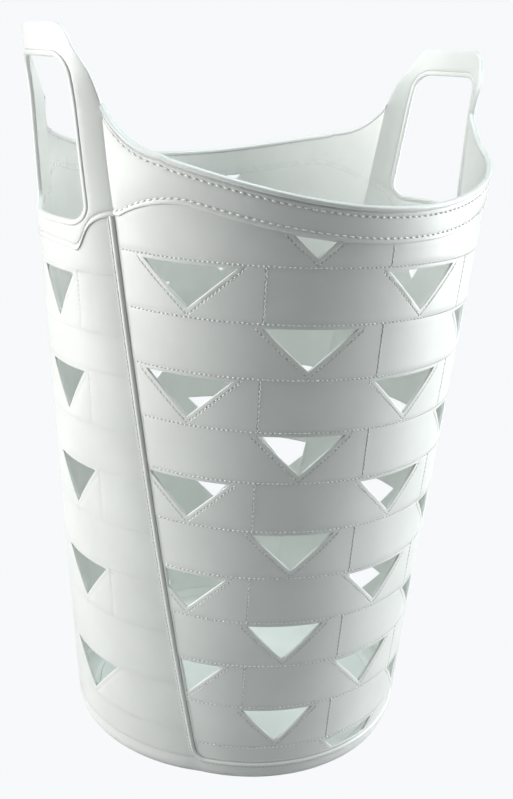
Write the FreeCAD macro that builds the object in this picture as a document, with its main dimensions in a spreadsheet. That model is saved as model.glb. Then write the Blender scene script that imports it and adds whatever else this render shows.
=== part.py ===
"""Tall flexible laundry tub with two loop handles.

The tub is a tapered shell whose wall is made of four bulging panels.  The
front and back panels are rows of triangular vents and are framed by a raised
piping; the side panels rise into the loop handles.  A welt closes the panels
at the top, and a rim band with a rolled edge joins the two handles.

+X runs towards the right handle, -Y towards the front, +Z up.  The origin is
the centre of the foot, on the surface that the tub stands on.  Everything
behind and on the right is the front and left turned half round.
"""
import FreeCAD, Part
import Sketcher
import math
import os
from FreeCAD import Placement, Rotation, Vector

DIMENSIONS = [
    ("total_height", 600.0, "foot to the top of the handles"),
    ("wall", 2.5, "moulded wall"),
    ("front_offset", 13.4, "axis of the front bulge, from the tub's axis"),
    ("front_radius_foot", 137.4, "radius of the front bulge at the foot"),
    ("front_radius_top", 180.0, "radius of the front bulge at the full height"),
    ("side_reach_foot", 151.9, "middle of a side panel, from the tub's axis, at the foot"),
    ("side_reach_top", 200.5, "middle of a side panel at the full height"),
    ("side_radius_foot", 145.0, "curve of a side panel at the foot"),
    ("side_radius_top", 78.0, "curve of a side panel at the full height"),
    ("edge_foot", 109.6, "half width of a side panel at the foot"),
    ("edge_top", 53.6, "half width of a side panel at the full height"),
    ("piping_width", 6.0, "raised piping that frames the front panel"),
    ("piping_proud", 1.5, "how far the piping stands out"),
    ("welt_height", 5.0, "raised welt above the panels"),
    ("welt_proud", 1.0, "how far the welt stands out"),
    ("arch_height", 467.5, "arch welt at the middle of the front"),
    ("arch_sag_radius", 455.0, "curve of the arch welt"),
    ("arch_crown_reach", 139.0, "where the arch welt is highest"),
    ("arch_crown_radius", 25.0, "curve of the arch welt's crown"),
    ("rim_height", 493.5, "top of the rim at the middle of the front"),
    ("rim_sag_radius", 435.0, "curve of the rim, seen from the front"),
    ("rim_lift_reach", 150.0, "where the rim begins to curve up into the handles"),
    ("rim_lift_radius", 31.0, "curve of that rise, seen from the front"),
    ("rim_bead", 4.0, "height of the rolled edge on the rim"),
    ("rim_proud", 0.8, "how far the rolled edge stands out, both ways"),
    ("row_pitch", 41.0, "height of one course of the front panel"),
    ("row_top", 488.9, "top edge of the vents in the first course"),
    ("vent_height", 30.9, "height of a vent"),
    ("vent_half_angle", 11.86, "half width of a vent, in degrees round the bulge"),
    ("side_vent_top", 427.6, "top edge of the highest side vent"),
    ("side_vent_step", 72.4, "first step down to the next side vent"),
    ("side_vent_growth", 2.9, "grows each later step"),
    ("side_vent_height", 36.5, "height of a side vent"),
    ("side_vent_half", 21.4, "half width of the highest side vent"),
    ("side_vent_widening", 2.6, "added to the half width at each step down"),
    ("side_vent_shift", 11.0, "highest side vent, from the middle of its panel"),
    ("side_vent_drift", 1.35, "added to that shift at each step down"),
    ("grip_top", 577.6, "top of the hand hole"),
    ("grip_bottom", 467.0, "bottom of the hand hole"),
    ("grip_half_top", 33.5, "half width of the hand hole at its top"),
    ("grip_half_bottom", 43.5, "half width of the hand hole at its bottom"),
    ("grip_rim", 4.0, "width of the flange round the hand hole"),
    ("grip_rim_depth", 3.0, "how far the flange stands in from the wall"),
    ("base_height", 24.0, "top of the rounded base band, under the panels"),
    ("base_radius", 151.0, "outside of the base band at its foot"),
    ("base_radius_top", 152.6, "outside of the base band at its top"),
    ("base_round", 15.0, "rounding of the base band into the floor"),
    ("base_wall", 3.0, "wall of the base band and of the floor panel"),
    ("base_shoulder", 7.6, "width of the band's top, which carries the panels"),
    ("floor_radius", 133.0, "floor panel"),
    ("foot_width", 7.0, "width of the foot ring"),
    ("foot_height", 3.0, "how far the foot ring stands down"),
]

# Vent columns of the front panel: degrees round its bulge, first and last course used.
# Each column takes every second course.
VENT_COLUMNS = [(-51.6, 2, 10), (-21.0, 1, 11), (9.8, 2, 12), (41.0, 3, 11)]
SIDE_VENTS = 5
REACH = 300.0       # further than any outline of the tub
SIDE_DEPTH = 220.0  # from that reach inwards: takes in the near wall of the leaning body only

# Handle corners below are half widths at a height, each with its rounding.
HANDLE_KNEE = (45.5, 574.0, 45.0)
HANDLE_CORNER_HALF = 34.5
HANDLE_CORNER_ROUND = 9.0
HANDLE_FOOT = 549.3
WELT_STEP = [(56.0, 471.0, 0.0), (49.0, 464.0, 5.0), (39.0, 444.5, 5.0), (20.0, 448.0, 0.0)]
WELT_END = 474.0
GRIP_ROUND_TOP = 8.0
GRIP_ROUND_BOTTOM = 12.0

doc = FreeCAD.newDocument("laundry_tub")
sheet = doc.addObject("Spreadsheet::Sheet", "dimensions")
for row, (alias, value, meaning) in enumerate(DIMENSIONS, start=1):
    sheet.set(f"A{row}", alias)
    sheet.set(f"B{row}", str(value))
    sheet.set(f"C{row}", meaning)
    sheet.setAlias(f"B{row}", alias)
doc.recompute()


def size(alias):
    """A driving dimension, read from the sheet."""
    return float(sheet.get(alias))


def bind(thing, expressions):
    """Ties properties to expressions in which every alias is a plain word."""
    aliases = [alias for alias, _, _ in DIMENSIONS]
    for name, expression in expressions.items():
        words = [f"dimensions.{word}" if word in aliases else word for word in expression.split()]
        thing.setExpression(name, " ".join(words))


def boolean(kind, name, *things):
    """Part::Cut of two objects, or Part::MultiCommon or Part::MultiFuse of several."""
    result = doc.addObject(kind, name)
    if kind == "Part::Cut":
        result.Base, result.Tool = things
    else:
        result.Shapes = list(things)
    return result


def shaped(name, shape):
    """Part::Feature that holds a shape worked out from the sheet."""
    feature = doc.addObject("Part::Feature", name)
    feature.Shape = shape
    return feature


# --- surfaces ----------------------------------------------------------------

def front_body(name, grow):
    """Tapered body whose side is the front bulge, grown outwards."""
    body = doc.addObject("Part::Cone", name)
    bind(body, {
        "Radius1": f"front_radius_foot + {grow}",
        "Radius2": f"front_radius_top + {grow}",
        "Height": "total_height",
        "Placement.Base.y": "0 - front_offset",
    })
    return body


def left_body(name, grow):
    """Leaning tapered body whose side is the left bulge, grown outwards."""
    rings = []
    for level in ("foot", "top"):
        ring = doc.addObject("Part::Circle", f"{name}_{level}")
        bind(ring, {
            "Radius": f"side_radius_{level} + {grow}",
            "Placement.Base.x": f"side_radius_{level} - side_reach_{level}",
        })
        rings.append(ring)
    bind(rings[1], {"Placement.Base.z": "total_height"})
    body = doc.addObject("Part::Loft", name)
    body.Sections = rings
    body.Solid = True
    body.Ruled = True
    return body


def shell(name, make_body, outer_grow, inner_grow):
    """The wall between two growths of one bulge."""
    outer = make_body(f"{name}_outside", outer_grow)
    inner = make_body(f"{name}_inside", inner_grow)
    return boolean("Part::Cut", name, outer, inner)


# --- outlines and the zones they cut out ---------------------------------------

def edge_at(height, margin):
    """Half width of the side panels at a height, plus a margin."""
    share = height / size("total_height")
    return size("edge_foot") * (1 - share) + size("edge_top") * share + margin


def front_zone(name, margin, floor):
    """Everything in front of the side panel's edge, above a floor."""
    top = size("total_height")
    corners = [(-edge_at(floor, margin), floor), (-edge_at(top, margin), top), (-REACH, top), (-REACH, floor)]
    points = [Vector(-REACH, y, z) for y, z in corners]
    face = Part.Face(Part.makePolygon(points + points[:1]))
    return shaped(name, face.extrude(Vector(2 * REACH, 0, 0)))


def left_zone(name, corners):
    """Everything on the left within an outline of (y, z, rounding) corners."""
    return shaped(name, Part.Face(rounded_wire(corners)).extrude(Vector(SIDE_DEPTH, 0, 0)))


def rounded_wire(corners):
    """Closed outline across X whose corners are rounded by tangent arcs."""
    points = [Vector(-REACH, y, z) for y, z, _ in corners]
    edges = []
    joints = []
    for index, (_, _, rounding) in enumerate(corners):
        here = points[index]
        before = (points[index - 1] - here).normalize()
        after = (points[(index + 1) % len(points)] - here).normalize()
        half_turn = before.getAngle(after) / 2
        run = rounding / math.tan(half_turn)
        start, stop = here + before * run, here + after * run
        if rounding > 0:
            inward = (before + after).normalize()
            middle = here + inward * (rounding / math.sin(half_turn) - rounding)
            edges.append(Part.Arc(start, middle, stop).toShape())
        joints.append((start, stop))
    for index, (_, stop) in enumerate(joints):
        start = joints[(index + 1) % len(joints)][0]
        edges.append(Part.LineSegment(stop, start).toShape())
    return Part.Wire(Part.__sortEdges__(edges))


def both_halves(half):
    """Adds the mirror image of corners that run from one side to the middle."""
    return half + [(-y, z, rounding) for y, z, rounding in reversed(half)]


def level_line(height):
    """Straight line across the front: its edges and its height at the ends."""
    ends = [Vector(side * REACH, 0, height) for side in (-1, 1)]
    return [Part.LineSegment(*ends).toShape()], height


def rim_line(raised):
    """Line of the rim: a long sag that curves up into the handles, raised as a whole."""
    sag = size("rim_sag_radius")
    lift = size("rim_lift_radius")
    lean = math.asin(size("rim_lift_reach") / sag)
    lowest = size("rim_height") + raised
    level = lowest + sag - (sag - lift) * math.cos(lean)
    edges = []
    joins = []
    for side in (-1, 1):
        centre = Vector(side * (sag - lift) * math.sin(lean), 0, level)
        half_turn = (math.pi / 2 + lean) / 2
        joined = centre + Vector(side * math.sin(lean), 0, -math.cos(lean)) * lift
        halfway = centre + Vector(side * math.sin(half_turn), 0, -math.cos(half_turn)) * lift
        risen = centre + Vector(side * lift, 0, 0)
        edges.append(Part.Arc(joined, halfway, risen).toShape())
        edges.append(Part.LineSegment(risen, Vector(side * REACH, 0, level)).toShape())
        joins.append(joined)
    edges.append(Part.Arc(joins[0], Vector(0, 0, lowest), joins[1]).toShape())
    return edges, level


def arch_line(raised):
    """Line of the arch welt: a sag between two crowns that fall to level ends."""
    sag = size("arch_sag_radius") - raised
    crown = size("arch_crown_radius") + raised
    reach = size("arch_crown_reach")
    sag_centre = size("arch_height") + size("arch_sag_radius")
    crown_centre = sag_centre - math.sqrt((sag + crown) ** 2 - reach ** 2)
    join = reach * sag / (sag + crown)
    join_height = sag_centre - math.sqrt(sag ** 2 - join ** 2)
    level = WELT_END + raised
    land = reach + math.sqrt(crown ** 2 - (level - crown_centre) ** 2)
    edges = []
    for side in (-1, 1):
        joined = Vector(side * join, 0, join_height)
        crest = Vector(side * reach, 0, crown_centre + crown)
        landed = Vector(side * land, 0, level)
        edges.append(Part.Arc(joined, crest, landed).toShape())
        edges.append(Part.LineSegment(landed, Vector(side * REACH, 0, level)).toShape())
    joins = [Vector(side * join, 0, join_height) for side in (-1, 1)]
    edges.append(Part.Arc(joins[0], Vector(0, 0, sag_centre - sag), joins[1]).toShape())
    return edges, level


def front_band(name, lower, upper):
    """Zone of the front between two lines."""
    edges = lower[0] + upper[0]
    for side in (-1, 1):
        ends = [Vector(side * REACH, 0, line[1]) for line in (lower, upper)]
        edges.append(Part.LineSegment(*ends).toShape())
    face = Part.Face(Part.Wire(Part.__sortEdges__(edges)))
    return shaped(name, face.extrude(Vector(0, -REACH, 0)))


def welt_corners(raised):
    """Corners of the welt's line under the left handle, from +Y to -Y."""
    half = [(edge_at(WELT_END, 0), WELT_END + raised, 0.0)]
    half += [(y, z + raised, rounding) for y, z, rounding in WELT_STEP]
    return both_halves(half)


def handle_corners():
    """Outer corners of the left handle above its foot, from -Y to +Y."""
    half = [(edge_at(HANDLE_FOOT, 0), HANDLE_FOOT, 0.0), HANDLE_KNEE,
            (HANDLE_CORNER_HALF, size("total_height"), HANDLE_CORNER_ROUND)]
    return [(-y, z, rounding) for y, z, rounding in both_halves(half)]


def hole_corners(grow):
    """Corners of the hand hole, grown all round."""
    top = (size("grip_half_top") + grow, size("grip_top") + grow, GRIP_ROUND_TOP + grow)
    bottom = (size("grip_half_bottom") + grow, size("grip_bottom") - grow, GRIP_ROUND_BOTTOM + grow)
    return both_halves([bottom, top])


# --- vents ---------------------------------------------------------------------

def vent(centre, outward, half_width, height, depth):
    """Three-sided cutter that points down, from its top edge's middle outwards."""
    across = Vector(-outward.y, outward.x, 0)
    points = [centre - across * half_width, centre + across * half_width, centre - Vector(0, 0, height)]
    return Part.Face(Part.makePolygon(points + points[:1])).extrude(outward * depth)


def front_vents(name):
    """All the vents of the front panel, in columns round its bulge."""
    taper = (size("front_radius_top") - size("front_radius_foot")) / size("total_height")
    cutters = []
    for column_angle, first_course, last_course in VENT_COLUMNS:
        turn = math.radians(column_angle)
        outward = Vector(math.sin(turn), -math.cos(turn), 0)
        for course in range(first_course, last_course + 1, 2):
            top = size("row_top") - (course - 1) * size("row_pitch")
            radius = size("front_radius_foot") + taper * top
            half_width = radius * math.sin(math.radians(size("vent_half_angle")))
            centre = Vector(0, -size("front_offset"), top) + outward * (radius / 2)
            cutters.append(vent(centre, outward, half_width, size("vent_height"), radius))
    return shaped(name, Part.makeCompound(cutters))


def left_vents(name):
    """The column of vents of the left panel, a little towards the front."""
    outward = Vector(-1, 0, 0)
    cutters = []
    for step in range(SIDE_VENTS):
        top = size("side_vent_top") - step * (size("side_vent_step") + step * size("side_vent_growth"))
        shift = size("side_vent_shift") + step * size("side_vent_drift")
        half_width = size("side_vent_half") + step * size("side_vent_widening")
        centre = Vector(-size("side_reach_foot") / 2, -shift, top)
        cutters.append(vent(centre, outward, half_width, size("side_vent_height"), REACH / 2))
    return shaped(name, Part.makeCompound(cutters))


# --- turned pieces of the foot ----------------------------------------------------

def turned(name, corners):
    """Body turned from a section of (radius, height) corners, as expressions."""
    body = doc.addObject("PartDesign::Body", name)
    sketch = body.newObject("Sketcher::SketchObject", f"{name}_section")
    plane = [item for item in body.Origin.OriginFeatures if item.Role == "XZ_Plane"][0]
    sketch.AttachmentSupport = [(plane, "")]
    sketch.MapMode = "FlatFace"
    count = len(corners)
    points = [Vector(value_of(radius), value_of(height), 0) for radius, height in corners]
    for index in range(count):
        sketch.addGeometry(Part.LineSegment(points[index], points[(index + 1) % count]), False)
    for index in range(count):
        sketch.addConstraint(Sketcher.Constraint("Coincident", index, 2, (index + 1) % count, 1))
    for index, corner in enumerate(corners):
        for kind, expression in zip(("DistanceX", "DistanceY"), corner):
            place = sketch.addConstraint(Sketcher.Constraint(kind, -1, 1, index, 1, value_of(expression)))
            bind(sketch, {f"Constraints[{place}]": expression})
    turn = body.newObject("PartDesign::Revolution", f"{name}_turn")
    turn.Profile = sketch
    turn.ReferenceAxis = (sketch, ["V_Axis"])
    turn.Angle = 360
    body.Tip = turn
    return body


def value_of(expression):
    """Value of a plain sum of aliases and numbers."""
    total, sign = 0.0, 1.0
    for word in expression.split():
        if word in "+-":
            sign = 1.0 if word == "+" else -1.0
        else:
            total += sign * (float(word) if word[0].isdigit() else size(word))
    return total


def round_edge(body, name, radius_alias, radius, height):
    """Rounds the one edge of a turned body that lies at a radius and height."""
    doc.recompute()
    base = body.Tip
    for number, edge in enumerate(base.Shape.Edges, start=1):
        box = edge.BoundBox
        if abs(box.XMax - radius) < 0.01 and abs(box.ZMax - height) < 0.01 and box.ZLength < 0.01:
            fillet = body.newObject("PartDesign::Fillet", name)
            fillet.Base = (base, [f"Edge{number}"])
            bind(fillet, {"Radius": radius_alias})
            body.Tip = fillet
            return
    raise RuntimeError(f"{name}: no edge at radius {radius} and height {height}")


foot_ring = turned("foot_ring", [
    ("floor_radius - foot_width", "0"), ("floor_radius", "0"),
    ("floor_radius", "foot_height"), ("floor_radius - foot_width", "foot_height")])

floor_panel = turned("floor_panel", [
    ("0", "foot_height"), ("floor_radius", "foot_height"),
    ("floor_radius", "foot_height + base_wall"), ("0", "foot_height + base_wall")])

base_band = turned("base_band", [
    ("floor_radius", "foot_height"), ("base_radius", "foot_height"),
    ("base_radius_top", "base_height"), ("base_radius_top - base_shoulder", "base_height"),
    ("base_radius_top - base_shoulder", "base_height - base_wall"),
    ("base_radius - base_wall", "base_height - base_wall - 1"),
    ("base_radius - base_wall", "foot_height + base_wall"),
    ("floor_radius", "foot_height + base_wall")])
round_edge(base_band, "base_round_outside", "base_round", size("base_radius"), size("foot_height"))
round_edge(base_band, "base_round_inside", "base_round - base_wall",
           size("base_radius") - size("base_wall"), size("foot_height") + size("base_wall"))

# --- front -----------------------------------------------------------------------

front_wall = shell("front_wall", front_body, "0", "( 0 - wall )")
piping_wall = shell("piping_wall", front_body, "piping_proud", "( 0 - wall )")
welt_wall = shell("welt_wall", front_body, "welt_proud", "( 0 - wall )")
rim_wall = shell("rim_wall", front_body, "rim_proud", "( 0 - wall - rim_proud )")

base_top = size("base_height")
piping = size("piping_width")
welt = size("welt_height")
bead = size("rim_bead")

panel_window = front_zone("panel_window", piping / 2, base_top + piping)
piping_zone = front_zone("piping_zone", -piping / 2, base_top)
band_zone = front_zone("band_zone", 0, base_top)
under_arch = front_band("under_arch", level_line(base_top), arch_line(0))
arch_strip = front_band("arch_strip", arch_line(0), arch_line(welt))
rim_strip = front_band("rim_strip", arch_line(welt), rim_line(-bead))
bead_strip = front_band("bead_strip", rim_line(-bead), rim_line(0))

panel_blank = boolean("Part::MultiCommon", "panel_blank", front_wall, panel_window, under_arch)
front_panel = boolean("Part::Cut", "front_panel", panel_blank, front_vents("front_vents"))
piping_blank = boolean("Part::MultiCommon", "piping_blank", piping_wall, piping_zone, under_arch)
front_piping = boolean("Part::Cut", "front_piping", piping_blank, panel_window)
front_arch_welt = boolean("Part::MultiCommon", "front_arch_welt", welt_wall, band_zone, arch_strip)
front_rim_band = boolean("Part::MultiCommon", "front_rim_band", front_wall, band_zone, rim_strip)
front_rim_bead = boolean("Part::MultiCommon", "front_rim_bead", rim_wall, band_zone, bead_strip)

# --- left side ----------------------------------------------------------------------

left_wall = shell("left_wall", left_body, "0", "( 0 - wall )")
left_welt_wall = shell("left_welt_wall", left_body, "welt_proud", "( 0 - wall )")
grip_wall = shell("grip_wall", left_body, "0", "( 0 - wall - grip_rim_depth )")

panel_foot = [(-edge_at(base_top, -piping / 2), base_top, 0.0), (edge_at(base_top, -piping / 2), base_top, 0.0)]
panel_top = [(math.copysign(min(abs(y), edge_at(WELT_END, -piping / 2)), y), z, rounding)
             for y, z, rounding in welt_corners(0)]
side_panel_zone = left_zone("side_panel_zone", panel_foot + panel_top)
side_welt_zone = left_zone("side_welt_zone", list(reversed(welt_corners(welt))) + welt_corners(0))
handle_zone = left_zone("handle_zone", handle_corners() + welt_corners(welt))
hole = left_zone("hand_hole", hole_corners(0))
hole_with_rim = left_zone("hand_hole_with_rim", hole_corners(size("grip_rim")))

side_blank = boolean("Part::MultiCommon", "side_blank", left_wall, side_panel_zone)
left_side_panel = boolean("Part::Cut", "left_side_panel", side_blank, left_vents("left_vents"))
left_handle_welt = boolean("Part::MultiCommon", "left_handle_welt", left_welt_wall, side_welt_zone)
handle_blank = boolean("Part::MultiCommon", "handle_blank", left_wall, handle_zone)
left_handle = boolean("Part::Cut", "left_handle", handle_blank, hole_with_rim)
grip_blank = boolean("Part::MultiCommon", "grip_blank", grip_wall, hole_with_rim)
left_grip_rim = boolean("Part::Cut", "left_grip_rim", grip_blank, hole)

doc.recompute()

# --- the same pieces behind and on the right ------------------------------------------

HALF_TURN = Placement(Vector(0, 0, 0), Rotation(Vector(0, 0, 1), 180))
TURNED_NAMES = {"front": "back", "left": "right"}
near_pieces = [front_panel, front_piping, front_arch_welt, front_rim_band, front_rim_bead,
               left_side_panel, left_handle_welt, left_handle, left_grip_rim]
pieces = [foot_ring, floor_panel, base_band] + near_pieces
for piece in near_pieces:
    side, rest = piece.Name.split("_", 1)
    twin = shaped(f"{TURNED_NAMES[side]}_{rest}", piece.Shape)
    twin.Placement = HALF_TURN
    pieces.append(twin)
for piece in pieces:
    piece.Label = piece.Name
doc.recompute()

# --- checks and export -------------------------------------------------------------

for thing in doc.Objects:
    if "Invalid" in thing.State or "Error" in thing.State:
        raise RuntimeError(f"{thing.Name} failed: {thing.State}")

os.makedirs("parts", exist_ok=True)
for piece in pieces:
    shape = piece.Shape
    if shape.isNull() or not shape.isValid() or not shape.Solids:
        raise RuntimeError(f"{piece.Label} has no valid solid")
    shape.exportStep(f"parts/{piece.Label}.step")
    box = shape.BoundBox
    print(f"{piece.Label}: {len(shape.Solids)} solid, {shape.Volume / 1000:.1f} cm3, "
          f"z {box.ZMin:.1f} to {box.ZMax:.1f}")
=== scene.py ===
# %% [markdown]
# # A tall flexible laundry tub
#
# The real tub is one soft polyethylene moulding that is made to look sewn. Its wall has four
# bulging panels. The front and back panels look like courses of leather laid over each other,
# with a triangular vent wherever two strips fold back. A piping frames them, a hemmed band
# runs round the rim, and the side panels grow into two loop handles.
#
# Everything here is worked out from a few surface formulas, so every piece, stitch and edge
# sits on the same wall. Lengths are in millimetres until a mesh is made.

# %% Frame, tools and units
import math

import bmesh
import bpy
import numpy as np
from mathutils import Matrix, Vector
from mathutils.geometry import delaunay_2d_cdt
from mathutils.kdtree import KDTree


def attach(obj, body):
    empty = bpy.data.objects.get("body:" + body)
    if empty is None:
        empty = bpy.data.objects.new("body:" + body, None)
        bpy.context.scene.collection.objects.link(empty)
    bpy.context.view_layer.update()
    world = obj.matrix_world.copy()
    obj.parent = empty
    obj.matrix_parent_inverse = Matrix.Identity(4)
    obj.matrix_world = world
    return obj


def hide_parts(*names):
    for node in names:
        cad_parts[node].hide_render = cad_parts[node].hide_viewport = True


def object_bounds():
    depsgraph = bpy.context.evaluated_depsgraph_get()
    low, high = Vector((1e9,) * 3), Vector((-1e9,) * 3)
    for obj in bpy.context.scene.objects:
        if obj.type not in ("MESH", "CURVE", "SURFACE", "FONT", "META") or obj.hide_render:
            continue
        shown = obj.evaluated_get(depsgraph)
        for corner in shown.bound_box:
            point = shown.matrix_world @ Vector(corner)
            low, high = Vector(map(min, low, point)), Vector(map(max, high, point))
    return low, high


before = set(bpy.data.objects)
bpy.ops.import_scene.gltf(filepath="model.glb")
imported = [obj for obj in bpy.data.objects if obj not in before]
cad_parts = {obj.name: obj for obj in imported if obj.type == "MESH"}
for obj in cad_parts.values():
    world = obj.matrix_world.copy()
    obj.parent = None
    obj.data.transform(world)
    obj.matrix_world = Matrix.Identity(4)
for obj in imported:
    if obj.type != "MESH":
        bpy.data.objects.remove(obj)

MM = 0.001
cad_box = [list(corner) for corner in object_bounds()]
HEIGHT = cad_box[1][2] / MM
REACH_TOP = cad_box[1][0] / MM
print("tub height", round(HEIGHT), "mm, reach of a handle", round(REACH_TOP), "mm")

# %% [markdown]
# ## The wall as a formula
#
# A maker would describe this wall with a few gauges: how far the front bulge's axis lies from
# the tub's axis, how the bulge's radius grows with height, how far the side panel reaches and
# how wide it is. The side panel's curve follows from those, because it has to meet the front
# panel exactly in the valley where the piping lies. Two functions turn a place on the wall
# into a point in space, and both work on whole arrays at once.

# %% Gauges of the wall
WALL = 2.5
FRONT_OFFSET = 13.4
FRONT_RADIUS = (137.4, 180.0)       # this and the next two: at the foot, at full height
SIDE_REACH = (151.9, REACH_TOP)
SIDE_HALF = (109.6, 53.6)
PANEL_FOOT = 26.0
COURSE = 41.0
COURSES = 12
FIRST_COURSE = 488.9
UNROLL = 160.0                      # radius at which the front bulge is unrolled flat
LOOP_FLAT = (545.0, 592.0)          # heights between which the handle loses its bulge
LOOP_FLATNESS = 0.5                 # share of the bulge that is lost there
LOOP_SETBACK = 8.0
NEAR_VALLEY = 0.96                  # share of a panel's half width from which its edge is mitred


def at_height(gauge, z):
    """A gauge that runs straight from the foot to full height."""
    return gauge[0] + (gauge[1] - gauge[0]) * z / HEIGHT


def front_point(angle, z, out=0.0):
    """Points of the front bulge, out millimetres in front of its surface."""
    radius = at_height(FRONT_RADIUS, z) + out
    angle = angle + np.sign(angle) * near_valley(np.abs(angle) / valley_angle(z)) * mitre(z, out) / radius
    return np.stack(np.broadcast_arrays(
        radius * np.sin(angle), -FRONT_OFFSET - radius * np.cos(angle), z), -1)


def valley_angle(z, margin=0.0):
    """Angle on the front bulge where the side panel begins."""
    across = at_height(SIDE_HALF, z) + margin - FRONT_OFFSET
    return np.arccos(across / at_height(FRONT_RADIUS, z))


def side_radius(z):
    """Curve of the side panel that meets the front bulge in the valley."""
    half = at_height(SIDE_HALF, z)
    valley = np.sqrt(at_height(FRONT_RADIUS, z) ** 2 - (half - FRONT_OFFSET) ** 2)
    rise = at_height(SIDE_REACH, z) - valley
    return (half ** 2 + rise ** 2) / (2 * rise)


def near_valley(share):
    """Rises from 0 to 1 over the last few millimetres before the valley."""
    return np.clip((share - NEAR_VALLEY) / (1 - NEAR_VALLEY), 0, 1)


def mitre(z, out):
    """How much further the wall's inner skin reaches, so that two bulges meet in a mitre."""
    turn = valley_angle(z) + np.arcsin(at_height(SIDE_HALF, z) / side_radius(z)) - math.pi / 2
    return np.maximum(-out, 0) * np.tan(turn / 2)


def left_point(y, z, out=0.0):
    """Points of the left bulge, where y is measured on its surface. Its top, the loop, is flatter."""
    radius = side_radius(z)
    y = y + np.sign(y) * near_valley(np.abs(y) / at_height(SIDE_HALF, z)) * mitre(z, out)
    turn = np.arcsin(np.clip(y / radius, -1, 1))
    drop = radius * (1 - np.cos(turn))
    rise = np.clip((z - LOOP_FLAT[0]) / (LOOP_FLAT[1] - LOOP_FLAT[0]), 0, 1)
    drop = drop - rise * rise * (3 - 2 * rise) * LOOP_FLATNESS * (drop - LOOP_SETBACK)
    return np.stack(np.broadcast_arrays(
        drop - out * np.cos(turn) - at_height(SIDE_REACH, z), (radius + out) * np.sin(turn), z), -1)


def wall_point(u, v, out=0.0):
    """Points of the unrolled front; beyond the valley they lie on the side bulge instead."""
    beyond = np.abs(u) - UNROLL * valley_angle(v)
    half = at_height(SIDE_HALF, v)
    slope = np.sqrt(1 - (half / side_radius(v)) ** 2)
    y = -(half - np.maximum(beyond, 0) * at_height(FRONT_RADIUS, v) / UNROLL * slope)
    side = left_point(y, v, out) * np.stack(np.broadcast_arrays(-np.sign(u), 1.0, 1.0), -1)
    return np.where((beyond > 0)[..., None], side, front_point(u / UNROLL, v, out))


print("valley at the foot", np.round(front_point(-valley_angle(0.0), 0.0), 1))
print("curve of the side panel", np.round(side_radius(np.array([50.0, 470.0]))), "mm")

# %% [markdown]
# ## Lines that divide the wall
#
# Seen from the front, the hem of the rim band sags between two crowns and the rim sags in one
# long arc that lifts towards the handles. Both are circles, so they are written as circles.
# On the side, the hem steps down under the handle.

# %% The arch, the rim and the handle's hem
ARCH_LOW = 467.5
ARCH_SAG = 455.0
CROWN_REACH = 139.0
CROWN_RADIUS = 25.0
ARCH_END = 474.0
RIM_LOW = 493.5
RIM_SAG = 435.0
RISE_RADIUS = 70.0
RISE_CENTRE = (115.7, 589.5)        # from the middle of the tub, and height
RISE_FROM = 108.0
SETTLE_ROUNDS = 12
HEM_STEP = [(0.0, 448.0), (32.0, 446.5), (38.5, 444.3), (42.0, 449.0), (46.0, 459.0),
            (49.0, 464.5), (55.0, 469.5), (62.0, 473.0), (70.0, 474.0)]


def arch_at(x, y):
    """Height of the rim band's hem at a point of the front."""
    x = np.abs(x)
    middle = ARCH_LOW + ARCH_SAG
    crown_middle = middle - math.sqrt((ARCH_SAG + CROWN_RADIUS) ** 2 - CROWN_REACH ** 2)
    join = CROWN_REACH * ARCH_SAG / (ARCH_SAG + CROWN_RADIUS)
    sag = middle - np.sqrt(np.maximum(ARCH_SAG ** 2 - x ** 2, 0))
    crown = crown_middle + np.sqrt(np.maximum(CROWN_RADIUS ** 2 - (x - CROWN_REACH) ** 2, 0))
    return np.where(x < join, sag, np.maximum(crown, ARCH_END))


def rim_at(x, y):
    """Height of the rim at a point of the front: a long sag that rises into the handles."""
    sag = RIM_LOW + RIM_SAG - np.sqrt(np.maximum(RIM_SAG ** 2 - x ** 2, 0))
    aside = RISE_CENTRE[0] - np.abs(y)
    rise = RISE_CENTRE[1] - np.sqrt(np.maximum(RISE_RADIUS ** 2 - aside ** 2, 0))
    return np.where(np.abs(y) < RISE_FROM, np.maximum(sag, rise), sag)


def line_on_front(height_at, angle, raise_by=0.0):
    """Height on the front bulge of one of these lines, at an angle, found by settling."""
    z = np.full_like(np.asarray(angle, float), ARCH_LOW)
    for _ in range(SETTLE_ROUNDS):
        radius = at_height(FRONT_RADIUS, z)
        z = height_at(radius * np.sin(angle), FRONT_OFFSET + radius * np.cos(angle)) + raise_by
    return z


def hem_at(y):
    """Height of the handle's hem on the side bulge, smoothed through its corners."""
    ys, zs = np.array(HEM_STEP).T
    spread = np.linspace(-2.5, 2.5, 11)
    return np.mean([np.interp(np.abs(y + shift), ys, zs) for shift in spread], axis=0)


print("hem at the front", float(arch_at(0, 0)), "crown", round(float(arch_at(CROWN_REACH, 0)), 1))

# %% [markdown]
# ## Cutting a panel out of sheet
#
# A panel with vents is easiest to make the way leather is cut: flat. The outline, the vents
# and every groove are drawn as lines in the plane, a Delaunay triangulation fills the space
# between them without crossing any, and the flat sheet is then laid on the bulge. Each line
# carries how deep it lies, which gives grooves, laps and rounded cut edges as real geometry.

# %% Flat lines and the sheet cutter
EDGE_ROUND = 0.7
SEAM_ROUND = 0.12                   # share of that rounding where two pieces meet
LINE_CLEAR = 0.55                   # filling points stay this share of their spacing from lines
ROUND_STEPS = [(EDGE_ROUND * (1 - math.sin(turn)), EDGE_ROUND * (1 - math.cos(turn)))
               for turn in (math.pi / 2, math.pi / 3, math.pi / 6, 0)]


def dense(points, step, closed=True):
    """Adds points along a line so that no run is longer than step."""
    points = np.asarray(points, float)
    following = np.roll(points, -1, axis=0) if closed else points[1:]
    rows = []
    for start, stop in zip(points, following):
        runs = max(1, math.ceil(np.linalg.norm(stop - start) / step))
        rows.extend(start + (stop - start) * share for share in np.arange(runs) / runs)
    if not closed:
        rows.append(points[-1])
    return np.array(rows)


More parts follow.
